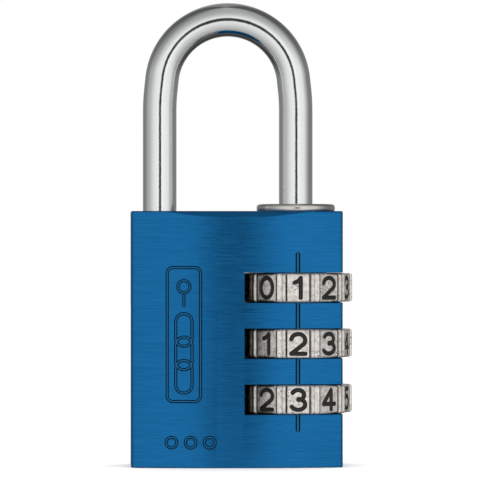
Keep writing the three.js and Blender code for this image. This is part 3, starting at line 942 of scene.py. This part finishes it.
# Degrees of height between which the wall gives way to what is below.
WALL_FOOT = (-4, -22)
# A dark place in front, at the lock's height: its middle, half its width and half its height in degrees.
DARK_AZIMUTH = 1.5
DARK_HALF_WIDTH = 8
DARK_HALF_HEIGHT = 11
DARK_LEVEL = 0.04  # as a share of what is round it

FLOOR_RADIUS = 1500
FLOOR_THICKNESS = 6
LAMP_STRENGTH = 3.8
LAMP_ANGLE = math.radians(120)


def ramp(tree, value, stops):
    """Grey levels through (position, level) stops, as a colour ramp."""
    made = add_node(tree, "ValToRGB", {"Fac": value})
    elements = made.color_ramp.elements
    while len(elements) < len(stops):
        elements.new(0.5)
    for element, (position, level) in zip(elements, stops):
        element.position = position
        element.color = (level, level, level, 1)
    return made.outputs["Color"]


def studio_world():
    """Soft walls of light, a dimmer ceiling and a dark place in front. The camera itself sees plain white."""
    world = bpy.data.worlds.new("studio")
    bpy.context.scene.world = world
    world.use_nodes = True
    tree = world.node_tree
    direction = add_node(tree, "TexCoord").outputs["Generated"]
    axes = add_node(tree, "SeparateXYZ", {"Vector": direction}).outputs
    forward = combined(tree, "MULTIPLY", axes["Y"], -1)
    azimuth = combined(tree, "MULTIPLY", combined(tree, "ARCTAN2", axes["X"], forward), 180 / math.pi)
    elevation = combined(tree, "MULTIPLY", combined(tree, "ARCSINE", axes["Z"], 0), 180 / math.pi)

    wall_stops = [(0.5 + angle / 360, level / WALL_PEAK) for angle, level in STUDIO_WALL]
    wall = ramp(tree, ranged(tree, azimuth, -180, 180, 0, 1), wall_stops)
    above_stops = [(angle / 90, level) for angle, level in STUDIO_ABOVE]
    share = ramp(tree, ranged(tree, elevation, 0, 90, 0, 1), above_stops)
    below_stops = [(0.5 + along / 2, level / WALL_PEAK) for along, level in STUDIO_BELOW]
    below = ramp(tree, ranged(tree, forward, -1, 1, 0, 1), below_stops)
    sunk = ranged(tree, elevation, *WALL_FOOT, 0, 1)
    lit = blended(tree, sunk, combined(tree, "MULTIPLY", wall, share), below)

    aside = combined(tree, "SUBTRACT", azimuth, DARK_AZIMUTH)
    across = combined(tree, "POWER", combined(tree, "DIVIDE", aside, DARK_HALF_WIDTH), 2)
    upward = combined(tree, "POWER", combined(tree, "DIVIDE", elevation, DARK_HALF_HEIGHT), 2)
    spot = ranged(tree, combined(tree, "ADD", across, upward), 0.5, 1.5, DARK_LEVEL, 1)
    strength = combined(tree, "MULTIPLY", combined(tree, "MULTIPLY", lit, spot), WALL_PEAK)
    seen = add_node(tree, "LightPath").outputs["Is Camera Ray"]
    tree.links.new(blended(tree, seen, strength, (1, 1, 1, 1)), tree.nodes["Background"].inputs["Color"])


def studio_floor():
    """A plain pale floor under a wide overhead lamp. Metal mirrors neither of them."""
    floor = upright_cylinder("floor", FLOOR_RADIUS, -FLOOR_THICKNESS, 0, segments=64)
    floor.data.transform(Matrix.Scale(MM, 4))
    material, tree, shader = new_material("pale_floor", Roughness=0.8)
    shade = stretched_noise(tree, (0.02, 0.02, 0.02), detail=2)
    colour = blended(tree, shade, (0.9, 0.9, 0.9, 1), (0.92, 0.92, 0.92, 1))
    tree.links.new(colour, shader.inputs["Base Color"])
    floor.data.materials.append(material)
    floor.visible_glossy = False
    lamp = bpy.data.lights.new("overhead", "SUN")
    lamp.energy = LAMP_STRENGTH
    lamp.angle = LAMP_ANGLE
    overhead = bpy.data.objects.new("overhead", lamp)
    overhead.visible_glossy = False
    bpy.context.scene.collection.objects.link(overhead)


def studio_camera():
    camera = bpy.data.objects.new("camera", bpy.data.cameras.new("camera"))
    bpy.context.scene.collection.objects.link(camera)
    camera.data.sensor_width = SENSOR
    camera.data.lens = SENSOR * CAMERA_DISTANCE / FRAME_WIDTH
    away = Vector((-math.sin(CAMERA_YAW), -math.cos(CAMERA_YAW), 0))
    camera.location = Vector((CAMERA_AIM_X, 0, CAMERA_HEIGHT)) + away * CAMERA_DISTANCE
    camera.rotation_euler = (math.pi / 2, 0, -CAMERA_YAW)
    camera.data.clip_start = 0.01
    bpy.context.scene.camera = camera


# ---------------------------------------------------------------- the scene

studio_camera()
studio_world()
studio_floor()
bpy.context.scene.view_settings.view_transform = "Standard"

bright = bright_steel_material()
plated_dials = plated_casting_material("nickel_casting", (0.72, 0.67, 0.61, 1), (1, 0.97, 0.93, 1))
plated_collar = turned_metal_material("nickel_turned", (0.62, 0.6, 0.56, 1), (0.76, 0.74, 0.69, 1), 0.22)
# Near-black painted shade for the walls of the engravings and the inside of the windows.
painted_recess_shade = milled_material("milled_painted_shade", (0.0006, 0.004, 0.012, 1), (0.0015, 0.01, 0.026, 1))
groove_floor = milled_material("milled_floor", (0.015, 0.13, 0.3, 1), (0.03, 0.2, 0.42, 1))
lock_body(anodised_material(), painted_recess_shade, groove_floor)
number_dials(plated_dials, paint_material())
shackle(bright)
guide_collar(plated_collar)
detent_balls(bright)
spring_steel = turned_metal_material("spring_steel", (0.26, 0.27, 0.28, 1), (0.4, 0.41, 0.42, 1), 0.28)
reset_spring(spring_steel)
finish_inner_nodes(
    turned_metal_material("turned_brass", (0.5, 0.32, 0.1, 1), (0.68, 0.46, 0.17, 1), 0.3), spring_steel
)
